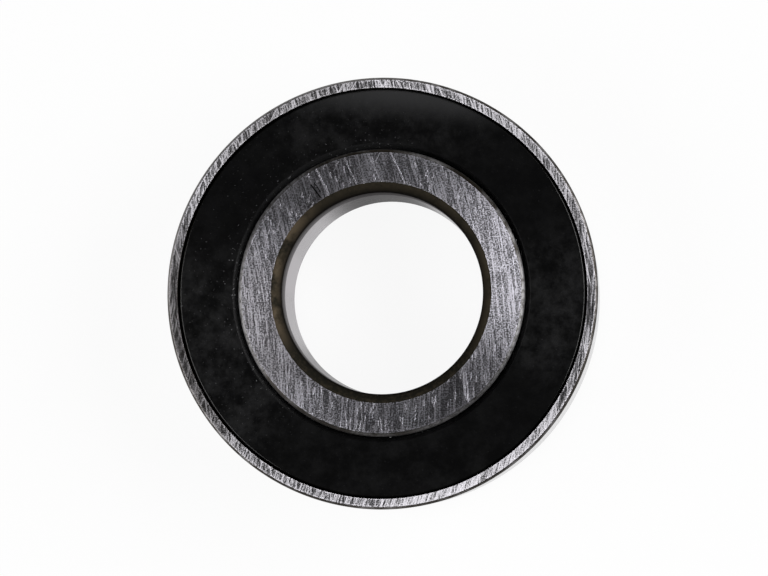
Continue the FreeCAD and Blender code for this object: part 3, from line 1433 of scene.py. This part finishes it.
@dataclass(frozen=True)
class Softbox:
    """One rectangular soft light that faces the bearing. Lengths are in metres."""

    name: str
    place: Place
    size: Point
    power: float

    def build(self, aim: Vector) -> None:
        """Makes the light and turns it to a point.

        Args:
            aim: Point that the light faces.
        """
        light = bpy.data.lights.new(self.name, "AREA")
        light.shape = "RECTANGLE"
        light.size, light.size_y = self.size
        light.energy = self.power
        lamp = bpy.data.objects.new(self.name, light)
        lamp.location = self.place
        lamp.rotation_euler = (aim - lamp.location).to_track_quat("-Z", "Y").to_euler()
        lamp.visible_camera = False
        bpy.context.scene.collection.objects.link(lamp)


@dataclass
class Camera:
    """Camera at the photograph's place. Lengths are in metres, image sizes in pixels."""

    image: tuple[int, int] = (768, 576)
    focal_pixels: float = 2566.8
    offset: Place = (0.0189, -0.01205, 0.1882)
    centre_pixel: Point = (380.6, 292.2)
    sensor_mm: float = 36.0
    clip: Point = (0.005, 20.0)

    def build(self, face_centre: Vector) -> None:
        """Makes the camera so that the bearing's front face falls on its place in the image.

        Args:
            face_centre: Middle of the front face.
        """
        place = face_centre + Vector(self.offset)
        per_metre = self.focal_pixels / Vector(self.offset).length
        right = (self.image[0] / 2 - self.centre_pixel[0]) / per_metre
        up = (self.centre_pixel[1] - self.image[1] / 2) / per_metre
        forward = (face_centre + Vector((right, up, 0.0)) - place).normalized()
        across = forward.cross(Vector((0.0, 1.0, 0.0))).normalized()
        turn = Matrix((across, across.cross(forward), -forward)).transposed()
        data = bpy.data.cameras.new("camera")
        data.sensor_width = self.sensor_mm
        data.lens = self.focal_pixels * self.sensor_mm / self.image[0]
        data.clip_start, data.clip_end = self.clip
        camera = bpy.data.objects.new("camera", data)
        camera.matrix_world = Matrix.Translation(place) @ turn.to_4x4()
        bpy.context.scene.collection.objects.link(camera)
        bpy.context.scene.camera = camera


@dataclass
class Studio:
    """White table, soft lights and plain surroundings. Lengths are in metres."""

    table_size: float = 3.0
    paper: tuple[Colour, Colour] = (grey(0.93), grey(0.96))
    tooth: Cloud = Cloud(0.9, 3.0, 0.6)
    paper_roughness: float = 0.9
    paper_gloss: float = 0.1
    glow: float = 0.92
    ambient: float = 0.045
    horizon_fade: Point = (0.12, 0.2)
    softboxes: tuple[Softbox, ...] = (
        Softbox("left_softbox", place=(-0.40, -0.11, 0.30), size=(0.45, 0.30), power=1.6),
        Softbox("right_softbox", place=(0.41, 0.06, 0.30), size=(0.45, 0.30), power=2.5),
        Softbox("back_softbox", place=(0.05, 0.50, 0.28), size=(0.45, 0.25), power=0.4),
        Softbox("front_softbox", place=(-0.05, -0.50, 0.28), size=(0.45, 0.25), power=0.4),
    )

    def seen_directly(self, shader: Shader) -> Socket:
        """1 for rays from the camera, from gloss and through glass, 0 for the rest."""
        rays = shader.add("LightPath", {}).outputs
        return shader.strongest([rays[f"Is {kind} Ray"] for kind in ("Camera", "Glossy", "Transmission")])

    def table_material(self) -> Material:
        """Makes white paper that keeps the bearing's shadow.

        Returns:
            The finished material.
        """
        shader = Shader(bpy.data.materials.new("white_table"))
        skin = {
            "Base Color": shader.blend(self.tooth.level(shader), *self.paper),
            "Roughness": self.paper_roughness,
            "Specular IOR Level": self.paper_gloss,
        }
        paper = shader.add("BsdfPrincipled", skin)
        share = shader.times(self.seen_directly(shader), self.glow)
        white = shader.add("Emission", {"Strength": 1.0})
        both = shader.add("MixShader", {0: share, 1: paper.outputs[0], 2: white.outputs[0]})
        shader.add("OutputMaterial", {"Surface": both.outputs[0]})
        return shader.owner

    def build_table(self, level: float) -> None:
        """Lays the table under the bearing.

        Args:
            level: Height of its top.
        """
        mesh = bmesh.new()
        bmesh.ops.create_grid(mesh, x_segments=1, y_segments=1, size=self.table_size / 2)
        bmesh.ops.translate(mesh, verts=mesh.verts[:], vec=(0, 0, level))
        as_piece(mesh, "table", [self.table_material()])

    def build_world(self) -> None:
        """Sets dim even surroundings with a white horizon."""
        shader = Shader(bpy.data.worlds.new("surroundings"))
        direction = shader.add("TexCoord", {}).outputs["Generated"]
        upward = shader.add("SeparateXYZ", {0: direction}).outputs[2]
        white_below, dim_above = self.horizon_fade
        horizon = shader.ease(upward, dim_above, white_below)
        white = shader.times(self.seen_directly(shader), horizon)
        strength = shader.spread(white, self.ambient, 1.0)
        background = shader.add("Background", {"Color": grey(1.0), "Strength": strength})
        shader.add("OutputWorld", {"Surface": background.outputs[0]})
        bpy.context.scene.world = shader.owner

    def build(self, low: Vector, high: Vector) -> None:
        """Builds the table, lights, surroundings and camera round the bearing.

        Args:
            low: Lowest corner of the bearing.
            high: Highest corner of the bearing.
        """
        middle = (low + high) / 2
        self.build_table(low.z)
        for softbox in self.softboxes:
            softbox.build(middle)
        self.build_world()
        Camera().build(Vector((middle.x, middle.y, high.z)))
        bpy.context.scene.view_settings.view_transform = "Standard"


def main() -> None:
    """Builds the bearing piece by piece, then the studio round it."""
    logging.basicConfig(level=logging.INFO, format="%(name)s: %(message)s")
    balls = BallSet()
    outer = OuterRing(balls)
    inner = InnerRing(balls)
    front_seal = Seal("front_seal", outer, outer.front_lip, inner.high_land, Side.FRONT)
    rear_seal = Seal("rear_seal", outer, outer.rear_lip, inner.low_land, Side.REAR)
    for part in (outer, inner, front_seal, rear_seal):
        piece = part.build()
        log.info("built %s with %d faces", piece.name, len(piece.data.polygons))
    log.info("dressed %s", Cage().dress(CagePolyamide().material()))
    log.info("dressed %s", ", ".join(balls.dress(PolishedSteel("ball_steel").material())))
    Studio().build(*CAD_BOX)


if __name__ == "__main__":
    main()
